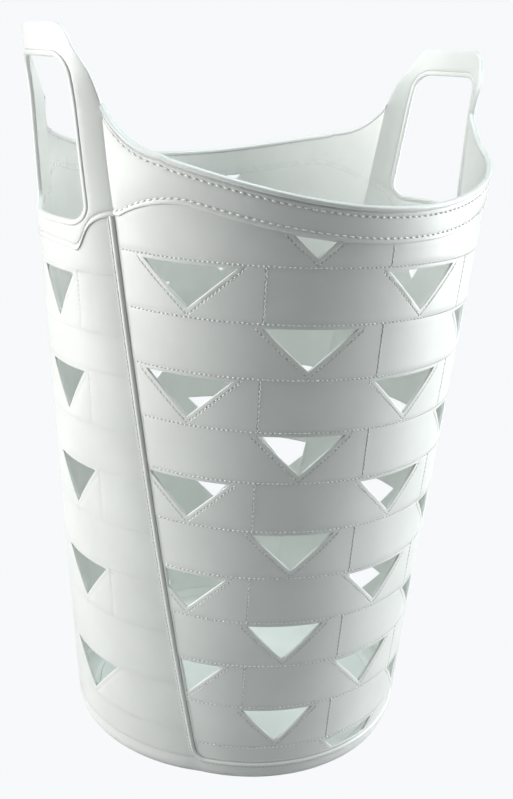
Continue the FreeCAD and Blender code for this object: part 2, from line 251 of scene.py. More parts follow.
def offset_line(points, distance, closed=True):
    """Line beside another, to the right of its direction, with mitred corners."""
    points = np.asarray(points, float)
    ahead = np.roll(points, -1, axis=0) - points
    if not closed:
        ahead[-1] = ahead[-2]
    ahead /= np.maximum(np.linalg.norm(ahead, axis=1, keepdims=True), 1e-9)
    behind = np.roll(ahead, 1, axis=0)
    if not closed:
        behind[0] = ahead[0]
    normal = np.stack([ahead[:, 1] + behind[:, 1], -ahead[:, 0] - behind[:, 0]], -1)
    length = np.linalg.norm(normal, axis=1, keepdims=True)
    normal /= np.maximum(length, 1e-9)
    return points + normal * distance / np.maximum(length / 2, 0.3)


def turns_left(loop):
    """Puts a closed loop in anticlockwise order."""
    x, y = loop.T
    area = np.sum(x * np.roll(y, -1) - np.roll(x, -1) * y)
    return loop if area > 0 else loop[::-1]


def inside(loop, points):
    """Which points lie inside a closed loop."""
    x, y = points.T
    result = np.zeros(len(points), bool)
    for (x1, y1), (x2, y2) in zip(loop, np.roll(loop, -1, axis=0)):
        if y1 != y2:
            crosses = (y1 > y) != (y2 > y)
            result ^= crosses & (x < (x2 - x1) * (y - y1) / (y2 - y1) + x1)
    return result


def cut_sheet(outline, holes, lines, spacing, soften=lambda points: np.full(len(points), SEAM_ROUND)):
    """Triangulates a sheet. Returns flat points, each point's depth, its edge depth and triangles.

    lines is a list of (points, depth) drawn on the sheet. Holes get rounded edges, and soften
    gives the share of that rounding along the outline, which is small where pieces meet.
    """
    flat, depth, edge_depth, bonds = [], [], [], []

    def draw(points, closed, down, edge_down):
        first = len(flat)
        flat.extend(points.tolist())
        depth.extend([down] * len(points))
        edge_depth.extend(np.broadcast_to(edge_down, len(points)).tolist())
        count = len(points)
        bonds.extend((first + i, first + (i + 1) % count) for i in range(count if closed else count - 1))

    outline = turns_left(np.asarray(outline, float))
    holes = [turns_left(np.asarray(hole, float)) for hole in holes]
    share = soften(outline)
    for away, down in ROUND_STEPS:
        draw(offset_line(outline, -away * share[:, None]), True, 0.0, down * share)
        for hole in holes:
            draw(offset_line(hole, away), True, 0.0, down)
    for points, down in lines:
        if len(points) > 1:
            draw(np.asarray(points, float), False, down, 0.0)

    drawn = KDTree(len(flat))
    for index, (u, v) in enumerate(flat):
        drawn.insert((u, v, 0), index)
    drawn.balance()
    low, high = outline.min(axis=0), outline.max(axis=0)
    rows = np.arange(low[1], high[1], spacing * math.sqrt(0.75))
    grid = [(u + (index % 2) * spacing / 2, v) for index, v in enumerate(rows)
            for u in np.arange(low[0], high[0], spacing)]
    grid = np.array([point for point in grid if drawn.find((*point, 0))[2] > LINE_CLEAR * spacing])
    keep = inside(outline, grid)
    for hole in holes:
        keep &= ~inside(hole, grid)
    flat.extend(grid[keep].tolist())
    depth.extend([0.0] * int(keep.sum()))
    edge_depth.extend([0.0] * int(keep.sum()))

    points, _, triangles, origins, _, _ = delaunay_2d_cdt(
        [Vector(point) for point in flat], bonds, [], 0, 1e-5)
    points = np.array([tuple(point) for point in points])
    triangles = np.array(triangles)
    middles = points[triangles].mean(axis=1)
    kept = inside(outline, middles)
    for hole in holes:
        kept &= ~inside(hole, middles)
    down = np.array([max((depth[i] for i in origin), default=0.0) for origin in origins])
    edge_down = np.array([max((edge_depth[i] for i in origin), default=0.0) for origin in origins])
    return points, down, edge_down, triangles[kept]


def level(out):
    """Skin that lies the same distance from the bulge everywhere."""
    return lambda u, v: np.full_like(u, out)


def mesh_object(name, points, faces):
    """Closed mesh in metres from points in millimetres, with its faces turned outwards."""
    mesh = bpy.data.meshes.new(name)
    mesh.from_pydata((np.asarray(points) * MM).tolist(), [], [list(map(int, face)) for face in faces])
    work = bmesh.new()
    work.from_mesh(mesh)
    loose = [vertex for vertex in work.verts if not vertex.link_faces]
    bmesh.ops.delete(work, geom=loose, context="VERTS")
    bmesh.ops.recalc_face_normals(work, faces=work.faces)
    work.to_mesh(mesh)
    work.free()
    mesh.shade_smooth()
    mesh.set_sharp_from_angle(angle=math.radians(33))
    made = bpy.data.objects.new(name, mesh)
    bpy.context.scene.collection.objects.link(made)
    return made


def sheet_object(name, sheet, place, outside, inside_out):
    """Lays a cut sheet on a bulge as a wall with two skins.

    outside and inside_out give how far each skin lies from the bulge at flat points.
    """
    points, down, edge_down, triangles = sheet
    u, v = points.T
    skins = [place(u, v, outside(u, v) - down - edge_down), place(u, v, inside_out(u, v) + edge_down)]
    count = len(points)
    edges = dict.fromkeys((face[k], face[(k + 1) % 3]) for face in triangles for k in range(3))
    rims = [(start, stop) for start, stop in edges if (stop, start) not in edges]
    faces = [tuple(face) for face in triangles]
    faces += [(c + count, b + count, a + count) for a, b, c in triangles]
    faces += [(stop, start, start + count, stop + count) for start, stop in rims]
    return mesh_object(name, np.concatenate(skins), faces)


# %% [markdown]
# ## Vents, laps and seams as drawn lines
#
# The maker of the mould cut every course as a strip with a hem, folded a flap back below each
# vent and stitched along the fold. So each vent brings its own set of lines: the hole, and a
# V-shaped stitched groove beside its two slanted sides. Each course brings a lap, where the
# upper strip lies over the lower one, with a stitch line along it, and where a strip ends an
# upright seam joins it to the next.

# %% Drawing aids for vents and laps
LAP = 0.25                          # how far a course stands proud of the one below
LAP_BELOW = 0.3                     # the lap lies this far under its stitches
BORDER = 3.7                        # from a vent's side to its stitches
FOLD_BELOW = 0.9                    # those stitches start this far below the vent's top
HEM = 3.3                           # from a vent's top to the stitches above it
SEAM_SHORT = 1.4                    # an upright seam stops this short of a course line
GROOVE_HALF = 0.8
GROOVE_DEPTH = 0.55
stitch_rows = {}                    # piece name: list of (points, outward directions)


def clipped(polygon, keep):
    """Part of a polygon where keep(point) is positive; keep must be nearly linear."""
    result = []
    for start, stop in zip(polygon, np.roll(polygon, -1, axis=0)):
        a, b = keep(start), keep(stop)
        if a >= 0:
            result.append(start)
        if (a >= 0) != (b >= 0):
            result.append(start + (stop - start) * a / (a - b))
    return np.array(result)


def runs_where(points, keep):
    """Unbroken runs of a line on which keep(points) holds."""
    good = keep(points)
    cuts = np.flatnonzero(good[1:] != good[:-1]) + 1
    runs = zip(np.split(points, cuts), np.split(good, cuts))
    return [run for run, fine in runs if fine[0] and len(run) > 2]


def groove(points, keep, depth=GROOVE_DEPTH):
    """Lines that press a groove into the sheet: its two banks and its bed."""
    lines = []
    for away in (-GROOVE_HALF, 0.0, GROOVE_HALF):
        for run in runs_where(offset_line(points, away, closed=False), keep):
            lines.append((run, depth if away == 0 else 0.0))
    return lines


def vee(corners, away):
    """Line beside a vent's two slanted sides, from just under its top edge and back."""
    left, right, tip = (np.asarray(corner, float) for corner in corners)
    result = []
    for corner in (left, right):
        side = tip - corner
        normal = np.array([side[1], -side[0]]) / np.linalg.norm(side)
        if normal[1] > 0:
            normal = -normal
        start = corner + normal * away
        start = start + side * ((start[1] - (corner[1] - FOLD_BELOW)) / -side[1])
        result.append((start, corner + normal * away, side))
    (start, base, side), (finish, base2, side2) = result
    share = np.linalg.solve(np.stack([side, -side2], -1), base2 - base)[0]
    return dense([start, base + side * share, finish], 2.0, closed=False)


def add_stitches(row, flat, place, keep=None, lift=0.0):
    """Keeps a stitch line that lies on a bulge, for the stitching later on."""
    runs = runs_where(flat, keep) if keep else [flat]
    for run in runs:
        u, v = run.T
        outer, inner = place(u, v, lift), place(u, v, lift - 1.0)
        stitch_rows.setdefault(row, []).append((outer, outer - inner))


def stitched_groove(row, flat, place, keep, depth, lift):
    """Grooves of a line that is also stitched."""
    add_stitches(row, flat, place, keep, lift)
    return groove(flat, keep, depth)


def vent_corners(middle, half, top, height):
    """The two top corners of a vent and its tip."""
    return np.array([(middle - half, top), (middle + half, top), (middle, top - height)])


def course_line(height, reach):
    """Level line across a panel."""
    return dense([(-reach, height), (reach, height)], 2.0, False)


print("grooves", 2 * GROOVE_HALF, "mm wide, laps", LAP, "mm high")

# %% [markdown]
# ## Front panel
#
# Twelve stitched courses with vents in four columns, each column in every second course. The
# sheet is drawn on the unrolled bulge, so its width narrows towards the foot just as the real
# tub's does. Vents near the piping run into it and are cut off there.

# %% Front panel drawn flat and laid on the bulge
# Degrees round the bulge, first and last course that has a vent.
VENT_COLUMNS = [(-51.6, 2, 10), (-21.0, 1, 11), (9.8, 2, 12), (41.0, 3, 11)]
VENT_HALF = math.radians(11.86) * UNROLL
VENT_HEIGHT = 30.9
BASE_TOP = 24.0
GAP = 0.12                          # between pieces that meet
VENT_CLEAR = (1.8, 1.2)             # wall left between a vent and the piping, and the hem
LINE_STOPS = (2.6, 1.6, 3.0)        # lines stop this far from the piping, the hem and the foot
FRONT_REACH = 250                   # further than the unrolled panel


def place_front(u, v, out):
    """Points of the unrolled front, laid back on the bulge."""
    return front_point(u / UNROLL, v, out)


def front_edge(v, margin=0.0):
    """Half width of the unrolled front, less a margin."""
    return UNROLL * valley_angle(v, margin)


def front_arch(u):
    return line_on_front(arch_at, u / UNROLL)


def on_front_panel(points):
    """Where lines may be drawn on the front panel."""
    u, v = points.T
    side, top, foot = LINE_STOPS
    return (np.abs(u) < front_edge(v, side)) & (v < front_arch(u) - top) & (v > PANEL_FOOT + foot)


def panel_outline(heights, half, top_at, across_top, across_foot):
    """Up a panel's right edge, back along its top, down its left edge and along its foot."""
    top = half[-1] * np.linspace(1, -1, across_top)[1:-1]
    foot = half[0] * np.linspace(-1, 1, across_foot)[1:-1]
    edges = [(half - GAP, heights), (top, top_at(top) - GAP), (GAP - half[::-1], heights[::-1]),
             (foot, np.full_like(foot, heights[0]))]
    return np.concatenate([np.stack(edge, -1) for edge in edges])


def sewn_on_front(flat, depth, lift):
    return stitched_groove("front_stitches", flat, place_front, on_front_panel, depth, lift)


heights = np.linspace(BASE_TOP, float(front_arch(front_edge(ARCH_END))), 116)
front_outline = panel_outline(heights, front_edge(heights), front_arch, 90, 80)

front_holes, front_lines = [], []
for course in range(1, COURSES + 1):
    top = FIRST_COURSE - (course - 1) * COURSE
    for degrees, first, last in VENT_COLUMNS:
        middle = math.radians(degrees) * UNROLL
        corners = vent_corners(middle, VENT_HALF, top, VENT_HEIGHT)
        if first <= course <= last and (course - first) % 2 == 0:
            hole = clipped(corners, lambda p: front_edge(p[1], VENT_CLEAR[0]) - abs(p[0]))
            hole = clipped(hole, lambda p: front_arch(p[0]) - VENT_CLEAR[1] - p[1])
            if len(hole) > 2:
                front_holes.append(dense(hole, 4.0))
            front_lines += sewn_on_front(vee(corners, BORDER), depth=GROOVE_DEPTH, lift=-0.3)
        elif degrees > VENT_COLUMNS[0][0] and (course - first) % 2 and course < COURSES:
            seam = dense([(middle - VENT_HALF, top + HEM - SEAM_SHORT),
                          (middle - VENT_HALF, top + HEM - COURSE + SEAM_SHORT)], 3.0, False)
            front_lines += groove(seam, on_front_panel)
            add_stitches("front_stitches", seam + (0.3, 0), place_front, on_front_panel, lift=-0.1)
    front_lines += sewn_on_front(course_line(top + HEM, FRONT_REACH), depth=0.4, lift=0.0)


def front_relief(u, v):
    """Each course stands proud at its lower hem and tucks under the next at its top."""
    return LAP * (1 - np.mod(v - FIRST_COURSE - HEM + LAP_BELOW, COURSE) / COURSE)


front_sheet = cut_sheet(front_outline, front_holes, front_lines, 4.0)
front_panel = sheet_object("front_panel_skin", front_sheet, place_front, front_relief, level(-WALL))
print("front panel", len(front_panel.data.polygons), "faces,", len(front_holes), "vents")

# %% [markdown]
# ## Side panel
#
# The left panel is drawn as seen from its own side. One column of wider vents runs down it, a
# little towards the front, and its courses are taller at the vents than between them.

# %% Side panel drawn as seen from the left
# Top, half width and middle of each vent; steps, widths and drift grow down the panel.
SIDE_VENTS = [(427.6 - k * (72.4 + 2.9 * k), 21.4 + 2.6 * k, -11.0 - 1.35 * k) for k in range(5)]
SIDE_VENT_HEIGHT = 36.5
SIDE_STRIP = 45.0                   # height of a course that holds a vent
SIDE_LINE_STOPS = (3.0, 2.0, 3.0)   # from the valley, the handle's hem and the foot
SIDE_LINE_REACH = 130               # further than the panel's half width


def on_side_panel(points):
    """Where lines may be drawn on the side panel."""
    y, z = points.T
    side, top, foot = SIDE_LINE_STOPS
    return (np.abs(y) < at_height(SIDE_HALF, z) - side) & (z < hem_at(y) - top) & (z > BASE_TOP + foot)


def sewn_on_side(flat, depth, lift):
    return stitched_groove("left_stitches", flat, left_point, on_side_panel, depth, lift)


heights = np.linspace(BASE_TOP, ARCH_END, 113)
side_outline = panel_outline(heights, at_height(SIDE_HALF, heights), hem_at, 50, 56)

side_holes, side_lines, side_laps = [], [], []
for top, vent_half, middle in SIDE_VENTS:
    corners = vent_corners(middle, vent_half, top, SIDE_VENT_HEIGHT)
    side_holes.append(dense(corners, 4.0))
    side_lines += sewn_on_side(vee(corners, BORDER), depth=0.2, lift=-0.3)
    for lap in (top + HEM, top + HEM - SIDE_STRIP):
        side_laps.append(lap - LAP_BELOW)
        side_lines += sewn_on_side(course_line(lap, SIDE_LINE_REACH), depth=0.14, lift=-0.05)
for (top, _, _), (_, next_half, next_middle) in zip(SIDE_VENTS, SIDE_VENTS[1:]):
    seam = dense([(next_middle - next_half, top + HEM - SEAM_SHORT),
                  (next_middle - next_half - 1, top + HEM - SIDE_STRIP + SEAM_SHORT)], 3.0, False)
    side_lines += sewn_on_side(seam, depth=0.14, lift=-0.05)
side_laps = np.array(sorted(side_laps + [-20.0, 520.0]))     # with one below and one above the panel


def side_relief(u, v):
    """The same laps as on the front, for courses of two heights."""
    index = np.clip(np.searchsorted(side_laps, v, side="right"), 1, len(side_laps) - 1)
    low, high = side_laps[index - 1], side_laps[index]
    return LAP * (1 - (v - low) / (high - low))


side_sheet = cut_sheet(side_outline, side_holes, side_lines, 4.0)
left_panel = sheet_object("left_side_panel_skin", side_sheet, left_point, side_relief, level(-WALL))
print("side panel", len(left_panel.data.polygons), "faces,", len(side_holes), "vents")

# %% [markdown]
# ## Handle
#
# The side wall grows into a loop that flattens towards its top, with softly rounded corners.
# The real handle is moulded in one with the wall; its outline is a line of rounded corners,
# so it is drawn as that, and cut from sheet like the panels.

# %% Handle drawn as seen from the left
HANDLE_FOOT = 549.3
# Corners of one half as (across, height, rounding), from the foot of the loop upwards.
HANDLE = [(55.0, 571.0, 35.0), (38.0, HEIGHT, 16.0)]
HAND_HOLE = [(46.5, 467.0, 12.0), (37.5, 577.6, 13.0)]
HEM_HEIGHT = 5.0                    # width of the hem strip
HEM_OUT = 1.0                       # how far the band and the handle stand proud of the panels
GRIP_RIM = 4.0


def rounded_corners(corners, steps=9):
    """Closed outline from (across, up, rounding) corners."""
    points = np.array([corner[:2] for corner in corners], float)
    result = []
    for index, (_, _, rounding) in enumerate(corners):
        here = points[index]
        before = points[index - 1] - here
        after = points[(index + 1) % len(points)] - here
        before, after = before / np.linalg.norm(before), after / np.linalg.norm(after)
        if rounding == 0:
            result.append(here)
            continue
        half_turn = math.acos(float(np.clip(before @ after, -1, 1))) / 2
        bisector = (before + after) / np.linalg.norm(before + after)
        centre = here + bisector * rounding / math.sin(half_turn)
        start = here + before * rounding / math.tan(half_turn) - centre
        stop = here + after * rounding / math.tan(half_turn) - centre
        sweep = math.atan2(start[0] * stop[1] - start[1] * stop[0], start @ stop)
        for share in np.linspace(0, 1, steps):
            turn = sweep * share
            result.append(centre + (start[0] * math.cos(turn) - start[1] * math.sin(turn),
                                    start[0] * math.sin(turn) + start[1] * math.cos(turn)))
    return np.array(result)


def mirrored(half):
    """Adds the other side of corners that run from the outside to the middle."""
    return half + [(-y, *rest) for y, *rest in half[::-1]]


foot_half = float(at_height(SIDE_HALF, HANDLE_FOOT))
loop = rounded_corners(mirrored([(foot_half, HANDLE_FOOT, 0.0)] + HANDLE))
low_ys = np.linspace(-1, 1, 50) * float(at_height(SIDE_HALF, ARCH_END))
hem = [(y, z) for y, z in zip(low_ys, hem_at(low_ys) + HEM_HEIGHT)]
handle_outline = dense(np.array(hem + loop.tolist()), 3.0)
rim_corners = [(y + GRIP_RIM, z + side * GRIP_RIM, rounding + GRIP_RIM)
               for (y, z, rounding), side in zip(HAND_HOLE, (-1, 1))]
rim_hole = dense(rounded_corners(mirrored(rim_corners)), 3.0)


def round_above_foot(points):
    """The loop's outline is fully rounded where it stands free, above the rim."""
    return np.where(points[:, 1] > HANDLE_FOOT + 0.5, 1.0, SEAM_ROUND)


handle_sheet = cut_sheet(handle_outline, [rim_hole], [], 3.2, round_above_foot)
left_handle = sheet_object("left_handle_loop", handle_sheet, left_point, level(HEM_OUT), level(-WALL))
print("handle", len(left_handle.data.polygons), "faces")

# %% [markdown]
# ## Rolled, hemmed and piped edges
#
# Everything that runs along an edge is a section carried along a line on the wall. Each
# section is a closed loop of (across, out) points, read off in millimetres the way one would
# draw it on paper, so a bead, a hem and a piping all come out of one function.

# %% Carrying a section along a line on the wall
def frames_along(flat, place, closed=False):
    """Points, outward and across directions of a flat line laid on a bulge."""
    u, v = np.asarray(flat, float).T
    here, above = place(u, v, 0.0), place(u, v, 1.0)
    out = above - here
    if closed:
        along = np.roll(here, -1, axis=0) - np.roll(here, 1, axis=0)
    else:
        along = np.gradient(here, axis=0)
    along /= np.linalg.norm(along, axis=1, keepdims=True)
    out -= along * np.sum(out * along, axis=1, keepdims=True)
    out /= np.linalg.norm(out, axis=1, keepdims=True)
    return here, out, np.cross(along, out)


def sweep(name, flat, place, section, closed=False):
    """Closed section of (across, out) points carried along a flat line on a bulge."""
    here, out, across = frames_along(flat, place, closed)
    section = np.asarray(section, float)
    rings = [point + section[:, :1] * side + section[:, 1:] * up
             for point, up, side in zip(here, out, across)]
    return ring_object(name, rings, closed)


def ring_object(name, rings, closed=False):
    """Skins a row of equal rings; an open row gets its two ends filled."""
    count, size = len(rings), len(rings[0])
    faces = []
    for i in range(count if closed else count - 1):
        j = (i + 1) % count
        faces += [(i * size + k, i * size + (k + 1) % size, j * size + (k + 1) % size, j * size + k)
                  for k in range(size)]
    if not closed:
        faces += [tuple(range(size))[::-1], tuple((count - 1) * size + k for k in range(size))]
    return mesh_object(name, np.concatenate(rings), faces)


def banded(name, section, columns=170):
    """Section carried across the front between the band's hem and the rim.

    Its points are (share, up, out); share 0 ties a point to the hem and 1 to the rim.
    """
    share, up, out = np.array(section).T
    rings = []
    for t in np.linspace(-1, 1, columns) * (1 - 1e-4):
        z = np.where(share == 0, ARCH_END, HANDLE_FOOT)
        for _ in range(SETTLE_ROUNDS):
            angle, radius = t * valley_angle(z), at_height(FRONT_RADIUS, z)
            x, y = radius * np.sin(angle), FRONT_OFFSET + radius * np.cos(angle)
            z = arch_at(x, y) * (1 - share) + rim_at(x, y) * share + up
        rings.append(front_point(t * valley_angle(z), z, out))
    return ring_object(name, rings)


# %% [markdown]
# ## Rim: hem strip, band and rolled edge
#
# The rim band is lapped over the panel like a sewn waistband: its lower edge is a step that
# casts a thin shadow on the panel. A stitch line holds the hem, and another runs under the
# rolled rim, which a fine groove sets off from the band.

# %% Sections of the rim
BEAD_HEIGHT = 4.0
HEM_STITCHES = (3.9, 0.65)          # up and out from the hem
RIM_STITCHES = (-7.6, 0.55)         # up and out from the rim
STITCHED = 0.975                    # share of the half width that these rows run over
HEM_SECTION = [(0, 0.0, -WALL), (0, 0.0, 0.5), (0, 0.12, 0.9), (0, 0.5, 1.25), (0, 1.2, 1.35), (0, 2.2, 1.3),
               (0, 3.2, 0.85), (0, 4.0, 0.6), (0, HEM_HEIGHT, 0.75), (0, HEM_HEIGHT, -WALL)]
BAND_SECTION = [(0, HEM_HEIGHT, -WALL), (0, HEM_HEIGHT, 0.75), (0, 6.2, HEM_OUT), (0.5, 2.0, HEM_OUT + 0.1),
                (1, -9.6, HEM_OUT), (1, -8.6, 0.8), (1, -7.6, 0.5), (1, -6.6, 0.8), (1, -5.6, 1.0),
                (1, -4.8, 0.7), (1, -BEAD_HEIGHT, 0.0), (1, -BEAD_HEIGHT, -WALL), (1, -9.0, -WALL),
                (0.5, 2.0, -WALL)]
BEAD_SECTION = [(1, -BEAD_HEIGHT, -WALL), (1, -BEAD_HEIGHT, 0.2), (1, -3.7, 0.8), (1, -3.1, 1.35),
                (1, -2.1, 1.6), (1, -1.2, 1.4), (1, -0.4, 0.75), (1, 0.0, -0.3), (1, 0.0, -1.6),
                (1, -0.4, -2.5), (1, -1.2, -3.0), (1, -2.4, -3.1), (1, -3.5, -2.8)]
arch_strip = banded("front_arch_welt_strip", HEM_SECTION)
rim_band = banded("front_rim_band_skin", BAND_SECTION)
rim_bead = banded("front_rim_bead_roll", BEAD_SECTION)

for line, (up, out) in ((arch_at, HEM_STITCHES), (rim_at, RIM_STITCHES)):
    u = np.linspace(-1, 1, 260) * front_edge(500.0) * STITCHED
    flat = np.stack([u, line_on_front(line, u / UNROLL, up)], -1)
    add_stitches("rim_stitches", flat, place_front, lift=out)
print("rim", len(rim_band.data.polygons), "faces in the band")

# %% [markdown]
# ## Piping round the front panel
#
# The piping is a ridge along the valley, on the side panel's edge. It turns a rounded corner
# near the floor and runs across under the lowest course. Its section has a stitched groove on
# the outer side, the ridge itself, and a sharp groove in the valley against the courses.

# %% Piping section and path
PIPING_BEYOND = 2.4                 # from the valley to the middle of the ridge
PIPING_CORNER = 15.0
PIPING_STITCHES = 2.4               # from the middle of the ridge to its stitches
PIPING_SECTION = [(-4.6, -0.4), (-4.4, 0.3), (-3.7, 0.6), (-3.0, 0.4), (-2.4, 0.15), (-1.8, 0.45),
                  (-1.2, 1.05), (-0.3, 1.55), (0.7, 1.55), (1.4, 1.2), (1.9, 0.65), (2.3, 0.55),
                  (2.8, 0.75), (3.3, 0.65), (3.6, 0.2), (3.7, -0.4)]
heights = np.linspace(ARCH_END - 0.3, PANEL_FOOT + PIPING_CORNER, 120)
down_left = np.stack([-front_edge(heights) - PIPING_BEYOND, heights], -1)
lean = down_left[-1] - down_left[-2]
bottom = PANEL_FOOT - PIPING_BEYOND
meet = down_left[-1] + lean * (down_left[-1][1] - bottom) / -lean[1]
corner = rounded_corners([(*down_left[-1], 0.0), (*meet, PIPING_CORNER), (0.0, bottom, 0.0)], 14)[1:-1]
left_half = np.concatenate([down_left[:-2], corner, dense([corner[-1], (0.0, bottom)], 4.0, False)[1:]])
piping_path = np.concatenate([left_half, (left_half * (-1, 1))[::-1][1:]])
front_piping = sweep("front_piping_ridge", piping_path, wall_point, PIPING_SECTION)
add_stitches("front_stitches", offset_line(piping_path, PIPING_STITCHES, closed=False), wall_point, lift=0.3)
print("piping", len(front_piping.data.polygons), "faces; its bottom line lies at", round(bottom, 1), "mm")

# %% [markdown]
# ## Handle welt and grip rim
#
# The rim band's hem carries on over the side panel as the handle's lower edge. Round the hand
# hole runs a low rounded rim, so that the edge is comfortable in the hand.

# %% Handle welt and grip rim
GRIP_SECTION = [(0.0, 1.0), (0.3, 1.3), (1.0, 1.5), (2.4, 1.35), (3.3, 0.9), (3.9, 0.1), (4.0, -0.8),
                (4.0, -2.2), (3.7, -2.9), (3.0, -3.1), (1.0, -2.9), (0.0, -2.5)]
welt_ys = np.linspace(-1, 1, 120) * (float(at_height(SIDE_HALF, ARCH_END)) - 0.2)
_, up, out = np.array(HEM_SECTION).T
left_welt = ring_object("left_handle_welt_strip", [left_point(y, hem_at(y) + up, out) for y in welt_ys])
welt_path = np.stack([welt_ys, hem_at(welt_ys) + HEM_STITCHES[0]], -1)
add_stitches("left_stitches", welt_path, left_point, lift=HEM_STITCHES[1])
left_grip = sweep("left_grip_rim_lip", turns_left(rim_hole), left_point, GRIP_SECTION, True)
print("handle welt", len(left_welt.data.polygons), "faces, grip rim", len(left_grip.data.polygons))

# %% [markdown]
# ## Base
#
# Under the panels the four bulges melt into one round foot. The radius of the wall at every
# angle is where a ray from the middle meets the outermost bulge, and from there a quarter
# circle leads in to the floor. The tub stands on a narrow ring.

# %% Base band, floor and foot ring
BASE_ROUND = 15.0
BASE_WALL = 3.0
FLOOR_RADIUS = 133.0
FOOT_HEIGHT = 3.0
FOOT_WIDTH = 7.0


def outline_radius(turn, z):
    """Distance of the wall from the tub's axis, at an angle from the front."""
    front = at_height(FRONT_RADIUS, z)
    side = side_radius(z)
    lean = at_height(SIDE_REACH, z) - side
    across, along = abs(math.sin(turn)), abs(math.cos(turn))
    at_front = FRONT_OFFSET * along + math.sqrt(front ** 2 - (FRONT_OFFSET * across) ** 2)
    at_side = lean * across + math.sqrt(side ** 2 - (lean * along) ** 2)
    return max(at_front, at_side)


def base_section(turn):
    """Section of the base band as (radius, height) points, from its top outside and round."""
    start = FOOT_HEIGHT + BASE_ROUND
    points = [(outline_radius(turn, z), z) for z in (BASE_TOP - GAP, 21.5, 19.5)]
    foot = outline_radius(turn, start)

    def quarter(edge, radius):
        return [(edge - radius * (1 - math.cos(a)), start - radius * math.sin(a))
                for a in np.linspace(0, math.pi / 2, 10)]

    points += quarter(foot, BASE_ROUND)
    points += [(FLOOR_RADIUS, FOOT_HEIGHT), (FLOOR_RADIUS, FOOT_HEIGHT + BASE_WALL)]
    points += quarter(foot - BASE_WALL, BASE_ROUND - BASE_WALL)[::-1]
    points += [(outline_radius(turn, BASE_TOP) - BASE_WALL, BASE_TOP - GAP)]
    return points


def turned(name, section_at, steps=180):
    """Closed band round the tub's axis from a section at each angle."""
    rings = [[(r * math.sin(turn), -r * math.cos(turn), z) for r, z in section_at(turn)]
             for turn in np.linspace(0, 2 * math.pi, steps, endpoint=False)]
    return ring_object(name, [np.array(ring) for ring in rings], closed=True)


base_band = turned("base_band_skin", base_section, 240)
FOOT_EDGE = [(0.0, FOOT_HEIGHT), (0.0, 0.8), (0.3, 0.25), (0.9, 0.0)]       # inset, height
FOOT_SECTION = [(FLOOR_RADIUS - inset, z) for inset, z in FOOT_EDGE]
FOOT_SECTION += [(FLOOR_RADIUS - FOOT_WIDTH + inset, z) for inset, z in FOOT_EDGE[::-1]]
foot_ring = turned("foot_ring_edge", lambda turn: FOOT_SECTION)
FLOOR_RINGS = [(0.4, 6.9), (30.0, 6.85), (60.0, 6.7), (90.0, 6.45), (115.0, 6.2),
               (FLOOR_RADIUS - 0.3, 6.0), (FLOOR_RADIUS - 0.3, FOOT_HEIGHT),
               (115.0, 3.2), (90.0, 3.45), (60.0, 3.7), (30.0, 3.85), (0.4, 3.9)]
floor_panel = turned("floor_panel_disc", lambda turn: FLOOR_RINGS, 120)
print("base band", len(base_band.data.polygons), "faces, floor", len(floor_panel.data.polygons))

# %% [markdown]
# ## The other half of the tub
#
# The tub repeats after half a turn about its axis, so the back and the right side are the
# front and the left, turned. Turning the mesh itself keeps every object at the origin.

# %% Turning copies half round
HALF_TURN = Matrix.Rotation(math.pi, 4, "Z")


def turned_copy(piece, name):
    """A copy of a piece whose mesh is turned half round the tub's axis."""
    copy = piece.copy()
    copy.data = piece.data.copy()
    copy.name = copy.data.name = name
    copy.data.transform(HALF_TURN)
    bpy.context.scene.collection.objects.link(copy)
    return copy


def twin_name(name):
    """Name of the piece half a turn away."""
    twin = name.replace("front", "back").replace("left", "right")
    return twin if twin != name else "back_" + name


made = {
    "front_panel": front_panel, "front_arch_welt": arch_strip, "front_rim_band": rim_band,
    "front_rim_bead": rim_bead, "front_piping": front_piping, "left_side_panel": left_panel,
    "left_handle": left_handle, "left_handle_welt": left_welt, "left_grip_rim": left_grip,
}
for node, piece in list(made.items()):
    made[twin_name(node)] = turned_copy(piece, twin_name(piece.name))
made.update({"base_band": base_band, "foot_ring": foot_ring, "floor_panel": floor_panel})
print(len(made), "pieces")

# %% [markdown]
# ## Moulded stitches
#
# A stitch here is a small rounded bump in the moulding. A node tree walks along each seam at an
# even spacing, sets one bump on every point, turns it along the seam and stands it on the
# wall, and then gives the plain mesh its material.

# %% The stitch and the tree that sews
def nodes_of(tree):
    """Small helper: add(type, inputs by identifier or index, settings) on a tree."""
    def add(kind, links=(), **settings):
        node = tree.nodes.new(kind)
        for key, value in settings.items():
            setattr(node, key, value)
        for key, value in dict(links).items():
            socket = node.inputs[key]
            if isinstance(value, bpy.types.NodeSocket):
                tree.links.new(value, socket)
            else:
                socket.default_value = value
        return node
    return add


def srgb(hex_colour):
    """Linear colour of an sRGB hex code."""
    parts = [int(hex_colour[i:i + 2], 16) / 255 for i in (1, 3, 5)]
    return [c / 12.92 if c <= 0.04045 else ((c + 0.055) / 1.055) ** 2.4 for c in parts] + [1.0]


STITCH_RINGS = [(-0.42, 0.62), (-0.2, 1.0), (0.2, 1.0), (0.42, 0.62)]       # place along, girth


